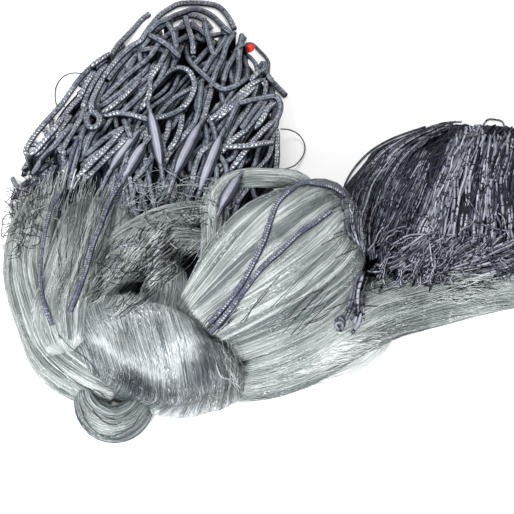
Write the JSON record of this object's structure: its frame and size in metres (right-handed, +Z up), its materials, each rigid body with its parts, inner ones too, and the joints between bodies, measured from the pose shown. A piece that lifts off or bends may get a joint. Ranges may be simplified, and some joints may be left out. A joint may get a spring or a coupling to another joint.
{
  "type": "gill net",
  "caption": "Gill net gathered and knotted for storage, with its netting in a tied bundle and its braided float line and thin lead line lying behind it in loose hanks.",
  "frame": {"origin": "on the flat underside of the bound netting, at the foot of its wrapped knot, level with the surface it rests on", "axes": "+X to the right along the longest way, +Y from the knot towards the float line's hank, +Z up"},
  "size_m": [0.4272, 0.3996, 0.0998],
  "materials": {
    "netting": "glossy nylon monofilament, pale grey-green",
    "float_line": "braided slate-grey rope",
    "float": "smooth braid stretched over a foam core",
    "lead_line": "thin dark cord with flecks",
    "rope_lead": "grey braided cord",
    "twine": "thin twisted twine",
    "marker": "plain red"
  },
  "bodies": {
    "root": {"netting": "netting", "float_line": "float_line", "float_01": "float", "float_02": "float", "float_03": "float", "float_04": "float", "float_05": "float", "float_06": "float", "float_07": "float", "marker": "marker", "lead_line": "lead_line", "hanging_cord": "rope_lead", "rope_lead_left": "rope_lead", "rope_lead_back": "rope_lead", "rope_lead_front": "rope_lead", "lead_line_bight": "lead_line", "twine_right": "twine", "twine_left": "twine"}
  },
  "joints": []
}
